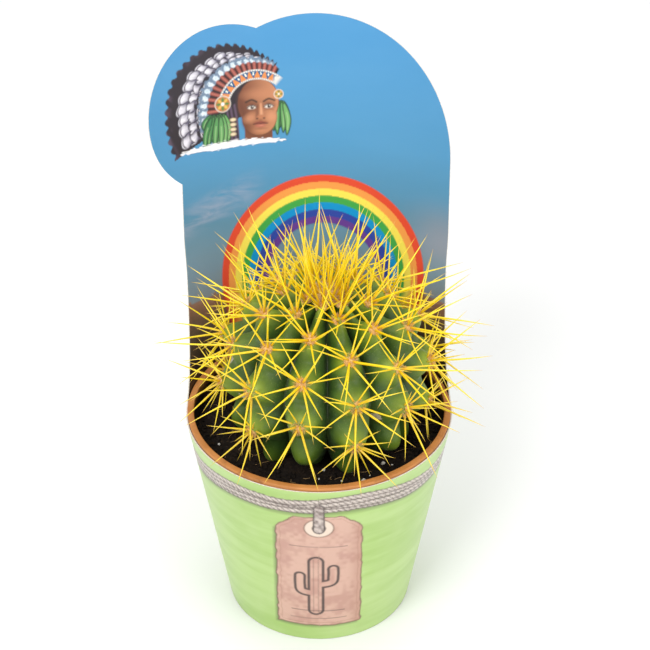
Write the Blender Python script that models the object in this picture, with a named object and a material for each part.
"""A young golden barrel cactus in a round nursery pot, with a card sleeve and a tall card backdrop.

Metres, +Z up. The origin is the centre of the pot's underside. -Y is the front, where the plant is
looked at, and the backdrop stands behind the plant at +Y.
"""

import math
import random

import bmesh
import bpy
import numpy as np
from mathutils import Matrix, Vector
from mathutils.bvhtree import BVHTree
from mathutils.kdtree import KDTree

# ---- Pot ----
POT_HEIGHT = 0.1040
POT_RIM_RADIUS = 0.0600
POT_BASE_RADIUS = 0.0418
POT_WALL = 0.0012
POT_FLOOR = 0.0016
LIP_WIDTH = 0.0030
LIP_HEIGHT = 0.0050
POT_SEGMENTS = 60
DRAIN_HOLES = 6
DRAIN_RADIUS = 0.0040
DRAIN_CIRCLE_RADIUS = 0.0280

# ---- Gaps between pieces that touch ----
TOUCH_GAP = 0.0003
SEAT_GAP = 0.0005

# ---- Card sleeve and backdrop, one piece of card ----
CARD_THICKNESS = 0.0006
SLEEVE_BASE_GAP = 0.0010
SLEEVE_TOP_DROP = 0.0016
SLEEVE_FLOOR_GAP = 0.0003
BACKDROP_CURVE_RADIUS = 0.1120
BACKDROP_EASE_HEIGHT = 0.060
BACKDROP_HALF_WIDTH = 0.0643
BACKDROP_OFFSET = -0.0016
ARCH_CENTRE_RISE = 0.0924
FLARE_HEIGHT = 0.0500
LOBE_INSET = 0.0226
LOBE_LIFT = 0.0219
LOBE_RADIUS = 0.0394

# ---- Soil ----
SOIL_DROP = 0.0100
SOIL_ROUGHNESS = 0.0007

# ---- Stem ----
STEM_RADIUS = 0.0370
STEM_UPPER_HEIGHT = 0.0280
STEM_LOWER_HEIGHT = 0.0420
STEM_CENTRE_RISE = 0.0245
STEM_SHIFT_X = 0.0032
RIBS = 12
RIB_PHASE = math.radians(-14)
RIB_RELIEF = 0.0070
RIB_SHARPNESS = 0.85
TUBERCLE_RELIEF = 0.0042
AREOLES_PER_RIB = 4
FIRST_AREOLE = math.radians(-1.5)
AREOLE_PITCH = math.radians(26.5)

# ---- Areoles, crown and spines ----
PAD_RADIUS = 0.0025
PAD_HEIGHT = 0.0012
CROWN_PAD_RADIUS = 0.0056
CROWN_PAD_HEIGHT = 0.0020
SPINE_WIDTH = 0.0010
RADIAL_SPINES = 8
RADIAL_LENGTH = 0.0225
RADIAL_RISE = math.radians(17)
CENTRAL_SPINES = 4
CENTRAL_LENGTH = 0.0320
CENTRAL_RISE = math.radians(50)
YOUNG_RADIAL_RISE = math.radians(48)
YOUNG_CENTRAL_RISE = math.radians(68)
YOUNG_LATITUDES = (math.radians(40), math.radians(78))
YOUNG_RADIAL_SHARE = 0.75
OLD_LATITUDES = (math.radians(-20), math.radians(20))
OLD_LENGTH_SHARE = 0.70
LOWER_SPINE_EXTRA = 0.15
CROWN_SPINE_LENGTH = 0.0330
CROWN_SPREAD = math.radians(34)
SPINE_CLEARANCE = 0.0006
SHORTEST_SPINE = 0.45
SEED = 7

RIM_CARD_RADIUS = POT_RIM_RADIUS + TOUCH_GAP
SLEEVE_BASE_RADIUS = POT_BASE_RADIUS + SLEEVE_BASE_GAP
CONE_SLOPE = (RIM_CARD_RADIUS - SLEEVE_BASE_RADIUS) / POT_HEIGHT
CONE_ANGLE = math.atan(CONE_SLOPE)
FLARE_WIDTH = 0.5 * math.pi * RIM_CARD_RADIUS - BACKDROP_HALF_WIDTH
LOBE_CENTRE = (
    BACKDROP_OFFSET - BACKDROP_HALF_WIDTH + LOBE_INSET,
    ARCH_CENTRE_RISE + LOBE_LIFT,
)
SOIL_LEVEL = POT_HEIGHT - SOIL_DROP
STEM_CENTRE = Vector((STEM_SHIFT_X, 0.0, POT_HEIGHT + STEM_CENTRE_RISE))


# ---------------------------------------------------------------- helpers


def clear_scene():
    for obj in list(bpy.data.objects):
        bpy.data.objects.remove(obj)


def material(name, colour, roughness, metallic=0.0):
    made = bpy.data.materials.new(name)
    made.use_nodes = True
    shader = made.node_tree.nodes["Principled BSDF"]
    shader.inputs["Base Color"].default_value = (*colour, 1.0)
    shader.inputs["Roughness"].default_value = roughness
    shader.inputs["Metallic"].default_value = metallic
    return made


def add_object(name, mesh, finish):
    obj = bpy.data.objects.new(name, mesh)
    bpy.context.scene.collection.objects.link(obj)
    mesh.materials.clear()
    mesh.materials.append(finish)
    return obj


def mesh_of(name, points, faces):
    mesh = bpy.data.meshes.new(name)
    mesh.from_pydata([tuple(p) for p in points], [], faces)
    bm = bmesh.new()
    bm.from_mesh(mesh)
    bmesh.ops.recalc_face_normals(bm, faces=bm.faces)
    bm.to_mesh(mesh)
    bm.free()
    return mesh


def ease(value):
    value = min(max(value, 0.0), 1.0)
    return value * value * (3 - 2 * value)


def ease_between(value, ends):
    return ease((value - ends[0]) / (ends[1] - ends[0]))


def turned(profile, segments):
    """Points and faces of a profile of (radius, height) turned about Z, from axis to axis."""
    points, faces, rings = [], [], []
    for radius, height in profile:
        if radius == 0.0:
            rings.append([len(points)] * segments)
            points.append((0.0, 0.0, height))
            continue
        rings.append([len(points) + k for k in range(segments)])
        for k in range(segments):
            angle = 2 * math.pi * k / segments
            points.append((radius * math.sin(angle), -radius * math.cos(angle), height))
    for low, high in zip(rings, rings[1:]):
        for k in range(segments):
            nxt = (k + 1) % segments
            corners = [low[k], low[nxt], high[nxt], high[k]]
            faces.append(list(dict.fromkeys(corners)))
    return points, faces


# ---------------------------------------------------------------- pot


def lip_radius(height):
    """Outside radius of the lip, which tapers with the card around it."""
    return POT_RIM_RADIUS - CONE_SLOPE * (POT_HEIGHT - height)


def pot_wall_radius(height):
    """Outside radius of the pot's plain wall under the lip."""
    top = POT_RIM_RADIUS - LIP_WIDTH + POT_WALL
    return POT_BASE_RADIUS + (top - POT_BASE_RADIUS) * height / (POT_HEIGHT - LIP_HEIGHT)


def pot_inside_radius(height):
    return pot_wall_radius(min(height, POT_HEIGHT - LIP_HEIGHT)) - POT_WALL


def build_drain_cutter():
    """One object with a short cylinder for every drain hole."""
    bm = bmesh.new()
    for k in range(DRAIN_HOLES):
        angle = 2 * math.pi * (k + 0.37) / DRAIN_HOLES
        place = Matrix.Translation(
            (DRAIN_CIRCLE_RADIUS * math.sin(angle), DRAIN_CIRCLE_RADIUS * math.cos(angle), 0.0)
        )
        bmesh.ops.create_cone(
            bm,
            cap_ends=True,
            segments=14,
            radius1=DRAIN_RADIUS,
            radius2=DRAIN_RADIUS,
            depth=POT_FLOOR * 4,
            matrix=place,
        )
    mesh = bpy.data.meshes.new("drain_cutter")
    bm.to_mesh(mesh)
    bm.free()
    cutter = bpy.data.objects.new("drain_cutter", mesh)
    cutter.hide_render = True
    cutter.display_type = "WIRE"
    bpy.context.scene.collection.objects.link(cutter)
    return cutter


def build_pot(finish):
    lip_low = POT_HEIGHT - LIP_HEIGHT
    round_over = LIP_WIDTH * 0.22
    inside_top = pot_inside_radius(lip_low)
    profile = [
        (0.0, 0.0),
        (POT_BASE_RADIUS, 0.0),
        (pot_wall_radius(lip_low), lip_low),
        (lip_radius(lip_low), lip_low + round_over),
        (lip_radius(POT_HEIGHT), POT_HEIGHT - round_over),
        (POT_RIM_RADIUS - round_over, POT_HEIGHT),
        (inside_top + round_over, POT_HEIGHT),
        (inside_top, POT_HEIGHT - round_over),
        (inside_top, lip_low),
        (pot_inside_radius(POT_FLOOR), POT_FLOOR),
        (0.0, POT_FLOOR),
    ]
    points, faces = turned(profile, POT_SEGMENTS)
    pot = add_object("nursery_pot", mesh_of("nursery_pot", points, faces), finish)
    cutter = build_drain_cutter()
    cut = pot.modifiers.new("drain_holes", "BOOLEAN")
    cut.operation = "DIFFERENCE"
    cut.solver = "EXACT"
    cut.object = cutter
    pot.data.shade_smooth()
    pot.data.set_sharp_from_angle(angle=math.radians(35))
    return pot


# ---------------------------------------------------------------- card sleeve and backdrop


def card_cone_radius(height):
    """Inside radius of the card where it wraps the pot."""
    return SLEEVE_BASE_RADIUS + CONE_SLOPE * height


def backdrop_curve_radius(rise):
    """The backdrop opens out from the pot's curve to a flatter one as it rises above the rim."""
    at_rim = 1 / (RIM_CARD_RADIUS + CONE_SLOPE * rise)
    opened = 1 / BACKDROP_CURVE_RADIUS
    return 1 / (at_rim + (opened - at_rim) * ease(rise / BACKDROP_EASE_HEIGHT))


def backdrop_point(across, rise, out):
    """Where a point of the flat card goes. across is along its curve from the middle of the back,
    rise is along its slope from the rim and out is away from its inner face."""
    if rise <= 0:
        height = POT_HEIGHT + rise
        angle = across / RIM_CARD_RADIUS
        radius = card_cone_radius(height) + out
        return Vector((radius * math.sin(angle), radius * math.cos(angle), height))
    radius = backdrop_curve_radius(rise)
    angle = across / radius
    lean = CONE_ANGLE * ease(rise / BACKDROP_EASE_HEIGHT)
    back = RIM_CARD_RADIUS + rise * math.sin(CONE_ANGLE) + out
    sag = (radius + out) * (1 - math.cos(angle))
    return Vector(
        (
            (radius + out) * math.sin(angle),
            back - sag * math.cos(lean),
            POT_HEIGHT + rise * math.cos(CONE_ANGLE) + sag * math.sin(lean),
        )
    )


def backdrop_half_width(rise):
    """Half the backdrop's width along its curve, flaring out to meet the level front edge."""
    height = min(max(rise + SLEEVE_TOP_DROP, 0.0), FLARE_HEIGHT)
    share = (FLARE_HEIGHT - height) / FLARE_HEIGHT
    return BACKDROP_HALF_WIDTH + FLARE_WIDTH * (1 - math.sqrt(1 - share**2))


def circles_meet(centre_a, radius_a, centre_b, radius_b):
    """The two points where two circles cross."""
    gap = Vector(centre_b) - Vector(centre_a)
    along = (radius_a**2 - radius_b**2 + gap.length_squared) / (2 * gap.length)
    aside = math.sqrt(max(radius_a**2 - along**2, 0.0))
    unit = gap.normalized()
    foot = Vector(centre_a) + unit * along
    normal = Vector((-unit.y, unit.x))
    return foot + normal * aside, foot - normal * aside


def arc(centre, radius, start, end, steps):
    return [
        (
            centre[0] + radius * math.cos(start + (end - start) * k / steps),
            centre[1] + radius * math.sin(start + (end - start) * k / steps),
        )
        for k in range(steps + 1)
    ]


def card_outline(seam, bottom):
    """The die-cut outline of the flat card, anticlockwise: (across, rise)."""
    flare = [FLARE_HEIGHT * (1 - math.cos(math.pi * k / 28)) for k in range(15)]
    levels = [height - SLEEVE_TOP_DROP for height in flare]
    right = [(BACKDROP_OFFSET + backdrop_half_width(rise), rise) for rise in levels]
    left = [(BACKDROP_OFFSET - backdrop_half_width(rise), rise) for rise in levels]
    arch_centre = Vector((BACKDROP_OFFSET, ARCH_CENTRE_RISE))
    lobe_centre = Vector(LOBE_CENTRE)
    meets = circles_meet(arch_centre, BACKDROP_HALF_WIDTH, lobe_centre, LOBE_RADIUS)
    notch = max(meets, key=lambda p: p.y)
    from_arch = notch - arch_centre
    from_lobe = notch - lobe_centre
    lobe_start = math.atan2(from_lobe.y, from_lobe.x)
    lobe_end = 2 * math.pi - math.acos(-LOBE_INSET / LOBE_RADIUS)
    arch_end = math.atan2(from_arch.y, from_arch.x)
    outline = [(-seam, bottom), (seam, bottom), (seam, -SLEEVE_TOP_DROP)]
    outline += right
    outline += arc(arch_centre, BACKDROP_HALF_WIDTH, 0, arch_end, 22)
    outline += arc(lobe_centre, LOBE_RADIUS, lobe_start, lobe_end, 20)[1:]
    outline += left[::-1]
    outline.append((-seam, -SLEEVE_TOP_DROP))
    return outline


def build_card_blank(seam):
    """A flat gridded sheet as wide as the way round the rim, with its inner face at height 0."""
    top = LOBE_CENTRE[1] + LOBE_RADIUS
    top = max(top, ARCH_CENTRE_RISE + BACKDROP_HALF_WIDTH) * 1.02
    spans = [seam * (2 * k / POT_SEGMENTS - 1) for k in range(POT_SEGMENTS + 1)]
    rows = [SLEEVE_FLOOR_GAP - POT_HEIGHT, -SLEEVE_TOP_DROP * 2]
    rows += [top * k / 16 for k in range(17)]
    wide, layer = len(spans), len(spans) * len(rows)
    points, faces = [], []
    for out in (0.0, CARD_THICKNESS):
        points += [(across, rise, out) for rise in rows for across in spans]
    for j in range(len(rows) - 1):
        for i in range(wide - 1):
            a = j * wide + i
            faces.append([a, a + 1, a + 1 + wide, a + wide])
            faces.append([layer + a, layer + a + wide, layer + a + 1 + wide, layer + a + 1])
    border = list(range(wide))
    border += [j * wide + wide - 1 for j in range(1, len(rows))]
    border += [(len(rows) - 1) * wide + i for i in range(wide - 2, -1, -1)]
    border += [j * wide for j in range(len(rows) - 2, 0, -1)]
    for a, b in zip(border, border[1:] + border[:1]):
        faces.append([a, b, layer + b, layer + a])
    return mesh_of("card_blank", points, faces)


def build_card(finish):
    """The card is cut flat, bent round the pot and joined to itself down the front."""
    seam = math.pi * RIM_CARD_RADIUS
    overcut = 0.004
    outline = card_outline(seam + overcut, -POT_HEIGHT - overcut)
    count = len(outline)
    points = [(x, y, z) for z in (-overcut, overcut) for x, y in outline]
    faces = [list(range(count)), list(range(count, 2 * count))]
    faces += [[k, (k + 1) % count, count + (k + 1) % count, count + k] for k in range(count)]
    blank = bpy.data.objects.new("card_blank", build_card_blank(seam))
    die = bpy.data.objects.new("card_die", mesh_of("card_die", points, faces))
    for obj in (blank, die):
        bpy.context.scene.collection.objects.link(obj)
    cut = blank.modifiers.new("die_cut", "BOOLEAN")
    cut.operation = "INTERSECT"
    cut.solver = "EXACT"
    cut.object = die
    graph = bpy.context.evaluated_depsgraph_get()
    mesh = bpy.data.meshes.new_from_object(blank.evaluated_get(graph))
    for obj in (blank, die):
        bpy.data.objects.remove(obj)
    bm = bmesh.new()
    bm.from_mesh(mesh)
    ends = [f for f in bm.faces if all(abs(v.co.x) > seam - 1e-6 for v in f.verts)]
    bmesh.ops.delete(bm, geom=ends, context="FACES_ONLY")
    for vertex in bm.verts:
        vertex.co = backdrop_point(*vertex.co)
    bmesh.ops.remove_doubles(bm, verts=bm.verts, dist=1e-6)
    bmesh.ops.recalc_face_normals(bm, faces=bm.faces)
    bm.to_mesh(mesh)
    bm.free()
    mesh.name = "card_sleeve"
    return add_object("card_sleeve", mesh, finish)


# ---------------------------------------------------------------- stem


def stem_relief(rib_offset, latitude, parity):
    """Height of the ribs and tubercles over the plain stem. rib_offset is 0 on a rib's crest and
    0.5 in the furrow beside it."""
    crest = abs(math.cos(math.pi * rib_offset)) ** RIB_SHARPNESS
    phase = (latitude - FIRST_AREOLE) / AREOLE_PITCH + 0.5 * parity
    bump = 0.5 + 0.5 * math.cos(2 * math.pi * phase)
    foot = ease((math.degrees(latitude) + 70) / 30)
    crown = ease((math.degrees(latitude) - 60) / 30)
    ribbed = RIB_RELIEF * crest + TUBERCLE_RELIEF * crest**1.5 * bump
    return foot * (ribbed + (RIB_RELIEF - ribbed) * crown)


def plain_stem(latitude):
    """Radius, rise and outward direction of the plain stem, a short barrel fuller below."""
    tall = STEM_UPPER_HEIGHT if latitude > 0 else STEM_LOWER_HEIGHT
    across, up = math.cos(latitude), math.sin(latitude)
    outward = Vector((across / STEM_RADIUS, up / tall)).normalized()
    return STEM_RADIUS * across, tall * up, outward


def stem_surface(azimuth, latitude, lift=0.0):
    """A point of the stem's skin, lifted off it along the plain stem's normal."""
    turn = (azimuth - RIB_PHASE) / (2 * math.pi / RIBS)
    rib = round(turn)
    height = stem_relief(turn - rib, latitude, rib % 2) + lift
    radius, rise, outward = plain_stem(latitude)
    radius += outward.x * height
    rise += outward.y * height
    return STEM_CENTRE + Vector((radius * math.sin(azimuth), -radius * math.cos(azimuth), rise))


def build_stem(finish):
    around = RIBS * 4
    step = AREOLE_PITCH / 4
    rows = [FIRST_AREOLE + step * j for j in range(-12, 14)]
    points = [stem_surface(0.0, -math.pi / 2)]
    for latitude in rows:
        for k in range(around):
            points.append(stem_surface(RIB_PHASE + 2 * math.pi * k / around, latitude))
    points.append(stem_surface(0.0, math.pi / 2))
    faces = []
    last = 1 + (len(rows) - 1) * around
    for k in range(around):
        nxt = (k + 1) % around
        faces.append([0, 1 + k, 1 + nxt])
        faces.append([len(points) - 1, last + nxt, last + k])
        for j in range(len(rows) - 1):
            low = 1 + j * around
            faces.append([low + k, low + nxt, low + around + nxt, low + around + k])
    stem = add_object("cactus_stem", mesh_of("cactus_stem", points, faces), finish)
    stem.data.shade_smooth()
    return stem


def stem_underside(radius):
    """Height of the lowest reach of the ribs at a radius from the stem's axis."""
    radii, heights = [], []
    for latitude in np.radians(np.linspace(-90, 0, 91)):
        relief = max(stem_relief(0.0, latitude, parity) for parity in (0, 1))
        plain_radius, rise, outward = plain_stem(latitude)
        radii.append(plain_radius + outward.x * relief)
        heights.append(rise + outward.y * relief)
    return STEM_CENTRE.z + float(np.interp(radius, radii, heights))


# ---------------------------------------------------------------- soil


def build_soil(finish, dice):
    """Soil up to a little below the rim, hollowed where the stem sits in it."""
    bottom = POT_FLOOR + TOUCH_GAP
    edge = pot_inside_radius(SOIL_LEVEL) - TOUCH_GAP
    foot = pot_inside_radius(bottom) - TOUCH_GAP
    rings = 10

    def soil_height(x, y, roughness):
        seat = stem_underside(math.hypot(x - STEM_CENTRE.x, y - STEM_CENTRE.y)) - SEAT_GAP
        return min(SOIL_LEVEL - dice.uniform(0, 2) * roughness, seat)

    points = [(0.0, 0.0, bottom)]
    for ring in range(rings + 1):
        radius = foot if ring == 0 else edge * (rings + 1 - ring) / rings
        roughness = 0.0 if ring < 2 else SOIL_ROUGHNESS
        for k in range(POT_SEGMENTS):
            angle = 2 * math.pi * k / POT_SEGMENTS
            x, y = radius * math.sin(angle), -radius * math.cos(angle)
            points.append((x, y, bottom if ring == 0 else soil_height(x, y, roughness)))
    points.append((0.0, 0.0, soil_height(0.0, 0.0, 0.0)))
    faces = []
    last = 1 + rings * POT_SEGMENTS
    for k in range(POT_SEGMENTS):
        nxt = (k + 1) % POT_SEGMENTS
        faces.append([0, 1 + nxt, 1 + k])
        faces.append([len(points) - 1, last + k, last + nxt])
        for ring in range(rings):
            low = 1 + ring * POT_SEGMENTS
            high = low + POT_SEGMENTS
            faces.append([low + k, low + nxt, high + nxt, high + k])
    return add_object("soil", mesh_of("soil", points, faces), finish)


# ---------------------------------------------------------------- spines


class Surroundings:
    """Everything that a spine has to stay clear of."""

    def __init__(self, pads):
        self.pads = pads
        self.spines = []
        count_around, count_up = 180, 90
        self.tree = KDTree(count_around * count_up)
        self.skin = []
        for j in range(count_up):
            latitude = math.radians(-80 + 168 * j / (count_up - 1))
            for k in range(count_around):
                azimuth = 2 * math.pi * k / count_around
                point = stem_surface(azimuth, latitude)
                outward = stem_surface(azimuth, latitude, 0.001) - point
                self.skin.append(outward.normalized())
                self.tree.insert(point, len(self.skin) - 1)
        self.tree.balance()

    def clear_of_stem(self, point, margin):
        near, index, distance = self.tree.find(point)
        return (point - near).dot(self.skin[index]) > 0 and distance > margin

    def clear_of_pot(self, point, margin):
        radius = math.hypot(point.x, point.y)
        if point.z < SOIL_LEVEL + margin:
            return False
        if point.z > POT_HEIGHT + margin:
            return True
        return radius < pot_inside_radius(point.z) - margin

    def clear_of_backdrop(self, point, margin):
        rise = (point.z - POT_HEIGHT) / math.cos(CONE_ANGLE)
        if rise <= 0:
            return True
        radius = backdrop_curve_radius(rise)
        across = min(abs(point.x) / radius, 1.0)
        inner = RIM_CARD_RADIUS + rise * math.sin(CONE_ANGLE)
        inner -= radius * (1 - math.sqrt(1 - across**2))
        if point.y < inner - margin - 0.0015:
            return True
        return abs(math.asin(across) * radius) > backdrop_half_width(rise) + 0.012

    def clear_of_others(self, root, tip, width, own_pad):
        for index, (centre, reach) in enumerate(self.pads):
            if index != own_pad and point_to_segment(centre, root, tip) < reach + width:
                return False
        others = [s for s in self.spines if s[3] != own_pad]
        if not others:
            return True
        starts = np.array([s[0] for s in others])
        ends = np.array([s[1] for s in others])
        widths = np.array([s[2] for s in others])
        apart, mine, theirs = segment_distances(np.array(root), np.array(tip), starts, ends)
        thick = 0.75 * width * (1 - mine) + 0.75 * widths * (1 - theirs)
        return bool((apart > thick + SPINE_CLEARANCE).all())

    def accepts(self, root, tip, width, own_pad):
        for step in range(2, 13):
            share = step / 12
            point = root.lerp(tip, share)
            half = 0.75 * width * (1 - share)
            if not self.clear_of_stem(point, half + SPINE_CLEARANCE):
                return False
            if not self.clear_of_pot(point, half + SPINE_CLEARANCE):
                return False
            if not self.clear_of_backdrop(point, half + SPINE_CLEARANCE):
                return False
        return self.clear_of_others(root, tip, width, own_pad)


def point_to_segment(point, start, end):
    along = end - start
    share = min(max((point - start).dot(along) / along.length_squared, 0.0), 1.0)
    return (point - start - along * share).length


def segment_distances(start, end, starts, ends):
    """Least distances from one segment to many, and where on each they fall, as shares."""
    own, other = end - start, ends - starts
    offset = start - starts
    a = own @ own
    b = other @ own
    c = (other * other).sum(1)
    d = offset @ own
    e = (other * offset).sum(1)
    bottom = np.maximum(a * c - b * b, 1e-18)
    mine = np.clip((b * e - c * d) / bottom, 0, 1)
    theirs = np.clip((b * mine + e) / c, 0, 1)
    mine = np.clip((b * theirs - d) / a, 0, 1)
    gap = offset + mine[:, None] * own - theirs[:, None] * other
    return np.sqrt((gap * gap).sum(1)), mine, theirs


def skin_frame(azimuth, latitude):
    """Centre, outward, up and side directions of a place on the stem."""
    centre = stem_surface(azimuth, latitude)
    outward = plain_stem(latitude)[2]
    ahead = Vector((math.sin(azimuth), -math.cos(azimuth), 0.0))
    side = Vector((math.cos(azimuth), math.sin(azimuth), 0.0))
    normal = ahead * outward.x + Vector((0.0, 0.0, outward.y))
    return centre, normal, side.cross(normal) * -1.0, side


def place_spine(root, frame, spine, own_pad, surroundings, dice):
    """The nearest free direction to the planned one, shortened only where none is free."""
    _, normal, up, side = frame
    turn, rise, length = spine
    tries = [(0.0, 0.0)]
    for reach in (0.09, 0.18, 0.27, 0.38, 0.5, 0.65, 0.8):
        for k in range(8):
            angle = 2 * math.pi * (k + dice.random() * 0.6) / 8
            tries.append((reach * math.cos(angle), reach * math.sin(angle)))
    for share in (1.0, 0.85, 0.7, 0.55, SHORTEST_SPINE):
        for turned_by, raised_by in tries:
            flat = up * math.cos(turn + turned_by) + side * math.sin(turn + turned_by)
            direction = flat * math.cos(rise + raised_by) + normal * math.sin(rise + raised_by)
            tip = root + direction * length * share
            if surroundings.accepts(root, tip, SPINE_WIDTH, own_pad):
                surroundings.spines.append((tuple(root), tuple(tip), SPINE_WIDTH, own_pad))
                return tip
    return None


class Pad:
    """A felted pad lying on the stem with its spines growing out of it, as one closed piece."""

    def __init__(self, own_pad, frame, stem_tree, surroundings, dice):
        self.own_pad = own_pad
        self.frame = frame
        self.stem_tree = stem_tree
        self.surroundings = surroundings
        self.dice = dice
        self.points = []
        self.faces = []

    def skin_under(self, point):
        """The place on the stem straight under a point, looking along the pad's own axis."""
        normal = self.frame[1]
        return self.stem_tree.ray_cast(point + normal * 0.010, -normal)[0]

    def on_skin(self, turn, radius, height):
        """Adds a point over the skin at a direction and distance from the pad's centre."""
        centre, normal, up, side = self.frame
        flat = up * math.cos(turn) + side * math.sin(turn)
        self.points.append(self.skin_under(centre + flat * radius) + normal * height)
        return len(self.points) - 1

    def lay_underside(self, faces):
        """Adds the faces under the pad, raised until their flat middles clear the curved skin."""
        normal = self.frame[1]
        short = 0.0
        for corners in faces:
            places = [self.points[c] for c in corners]
            middle = sum(places, Vector()) / len(places)
            tests = [middle]
            for start, end in zip(places, places[1:] + places[:1]):
                tests += [start.lerp(end, share) for share in (0.25, 0.5, 0.75)]
            for place in tests:
                gap = (place - self.skin_under(place)).dot(normal)
                short = max(short, TOUCH_GAP - gap)
        for index in {c for corners in faces for c in corners}:
            self.points[index] += normal * short
        self.faces += faces

    def grow(self, corners, spine):
        """Stands a spine on a face, or leaves the face plain where there is no room."""
        root = sum((self.points[c] for c in corners), Vector()) / len(corners)
        tip = place_spine(
            root, self.frame, spine, self.own_pad, self.surroundings, self.dice
        )
        if tip is None:
            self.faces.append(corners)
            return
        self.points.append(tip)
        for a, b in zip(corners, corners[1:] + corners[:1]):
            self.faces.append([a, b, len(self.points) - 1])


def build_areole(name, finish, pad, latitude):
    """An areole: radial spines round the pad's rim and central spines on its top."""
    dice = pad.dice
    youth = ease_between(latitude, YOUNG_LATITUDES)
    size = OLD_LENGTH_SHARE + (1 - OLD_LENGTH_SHARE) * ease_between(latitude, OLD_LATITUDES)
    thinned = latitude > (YOUNG_LATITUDES[0] + 2 * YOUNG_LATITUDES[1]) / 3
    central_rise = CENTRAL_RISE + (YOUNG_CENTRAL_RISE - CENTRAL_RISE) * youth
    radial_rise = RADIAL_RISE + (YOUNG_RADIAL_RISE - RADIAL_RISE) * youth
    low, high = [], []
    inner = PAD_RADIUS * 0.56
    radial = [2 * math.pi * (k + 0.5) / RADIAL_SPINES for k in range(RADIAL_SPINES)]
    for turn in radial:
        for sign in (-1, 1):
            low.append(pad.on_skin(turn + sign * 0.5 * SPINE_WIDTH / PAD_RADIUS, PAD_RADIUS, TOUCH_GAP))
    for turn in radial:
        for sign in (-1, 1):
            high.append(pad.on_skin(turn + sign * 0.45 * SPINE_WIDTH / inner, inner, PAD_HEIGHT))
    base = pad.on_skin(0, 0, TOUCH_GAP)
    top = pad.on_skin(0, 0, PAD_HEIGHT * 1.2)
    count = len(low)
    pad.lay_underside([[base, low[(k + 1) % count], low[k]] for k in range(count)])
    centrals = []
    for k in range(0, count, count // CENTRAL_SPINES):
        centrals.append((k, [top, high[k], high[k + 1], high[(k + 2) % count]]))
    for k, corners in centrals:
        turn = 2 * math.pi * (k + 1.5) / count
        rise = central_rise + dice.uniform(-0.16, 0.16)
        length = size * CENTRAL_LENGTH * dice.uniform(0.85, 1.12)
        pad.grow(corners, (turn, rise, length * (1 - LOWER_SPINE_EXTRA * math.cos(turn))))
    for k in range(count):
        nxt = (k + 1) % count
        band = [low[k], low[nxt], high[nxt], high[k]]
        if k % 2 or (thinned and k % 4):
            pad.faces.append(band)
            continue
        turn = radial[k // 2]
        rise = radial_rise + dice.uniform(-0.10, 0.12)
        length = size * RADIAL_LENGTH * dice.uniform(0.85, 1.15)
        length *= 1 + (YOUNG_RADIAL_SHARE - 1) * youth
        pad.grow(band, (turn, rise, length * (1 - LOWER_SPINE_EXTRA * math.cos(turn))))
    covered = {(k + j) % count for k, _ in centrals for j in (0, 1)}
    for k in range(count):
        if k not in covered:
            pad.faces.append([top, high[k], high[(k + 1) % count]])
    return add_object(name, mesh_of(name, pad.points, pad.faces), finish)


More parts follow.
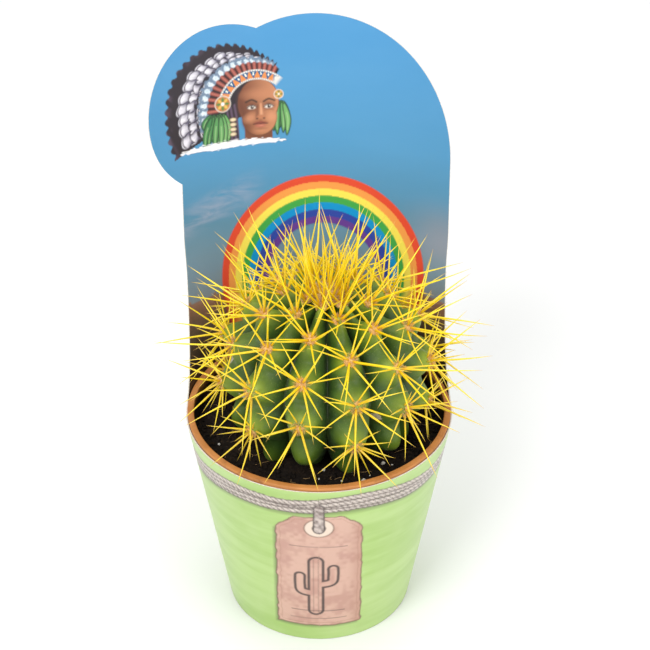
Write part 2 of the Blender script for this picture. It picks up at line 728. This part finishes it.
def build_crown(name, finish, pad):
    """The woolly growing point, with rings of young spines standing nearly upright."""
    count = 20
    shares = (0.40, 0.70, 1.0, 0.78, 0.44)
    full = CROWN_PAD_HEIGHT
    heights = (TOUCH_GAP, TOUCH_GAP, TOUCH_GAP, full * 0.8, full)
    rings = [
        [pad.on_skin(2 * math.pi * k / count, CROWN_PAD_RADIUS * share, height) for k in range(count)]
        for share, height in zip(shares, heights)
    ]
    base = pad.on_skin(0, 0, TOUCH_GAP)
    top = pad.on_skin(0, 0, CROWN_PAD_HEIGHT)
    underside = []
    for k in range(count):
        nxt = (k + 1) % count
        underside.append([base, rings[0][nxt], rings[0][k]])
        underside += [[low[k], low[nxt], high[nxt], high[k]] for low, high in zip(rings[:2], rings[1:3])]
        pad.faces.append([top, rings[-1][k], rings[-1][nxt]])
    pad.lay_underside(underside)
    for j, (low, high) in enumerate(zip(rings[2:], rings[3:])):
        share = (shares[j + 2] + shares[j + 3]) / 2
        for k in range(count):
            nxt = (k + 1) % count
            band = [low[k], low[nxt], high[nxt], high[k]]
            if (k + j) % 2:
                pad.faces.append(band)
                continue
            lean = CROWN_SPREAD * (share + pad.dice.uniform(-0.12, 0.12))
            length = CROWN_SPINE_LENGTH * pad.dice.uniform(0.7, 1.15)
            turn = 2 * math.pi * (k + 0.5) / count
            pad.grow(band, (turn, math.pi / 2 - lean, length))
    return add_object(name, mesh_of(name, pad.points, pad.faces), finish)


def areole_places():
    """(name, azimuth, latitude) of every areole, rib by rib from the soil up."""
    places = []
    for rib in range(RIBS):
        azimuth = RIB_PHASE + 2 * math.pi * rib / RIBS
        for k in range(AREOLES_PER_RIB):
            latitude = FIRST_AREOLE + AREOLE_PITCH * (k - 0.5 * (rib % 2))
            places.append((f"areole_{rib + 1:02d}_{k + 1}", azimuth, latitude))
    return places


def build_spines(finish, stem, dice):
    places = areole_places()
    frames = [skin_frame(azimuth, latitude) for _, azimuth, latitude in places]
    reaches = [PAD_RADIUS + SPINE_CLEARANCE] * len(places)
    frames.append(skin_frame(0.0, math.pi / 2))
    reaches.append(CROWN_PAD_RADIUS + SPINE_CLEARANCE)
    surroundings = Surroundings([(f[0], reach) for f, reach in zip(frames, reaches)])
    bm = bmesh.new()
    bm.from_mesh(stem.data)
    stem_tree = BVHTree.FromBMesh(bm)
    bm.free()
    pads = [Pad(k, f, stem_tree, surroundings, dice) for k, f in enumerate(frames)]
    build_crown("crown_tuft", finish, pads[-1])
    order = sorted(range(len(places)), key=lambda k: -places[k][2])
    for k in order:
        name, _, latitude = places[k]
        build_areole(name, finish, pads[k], latitude)


def main():
    clear_scene()
    dice = random.Random(SEED)
    pot = material("pot_plastic", (0.33, 0.13, 0.035), 0.45)
    card = material("card", (0.42, 0.72, 0.16), 0.35)
    earth = material("soil", (0.012, 0.008, 0.006), 0.95)
    skin = material("cactus_skin", (0.055, 0.13, 0.028), 0.5)
    spines = material("spines", (0.90, 0.66, 0.01), 0.45)
    build_pot(pot)
    build_card(card)
    stem = build_stem(skin)
    build_soil(earth, dice)
    build_spines(spines, stem, dice)


main()
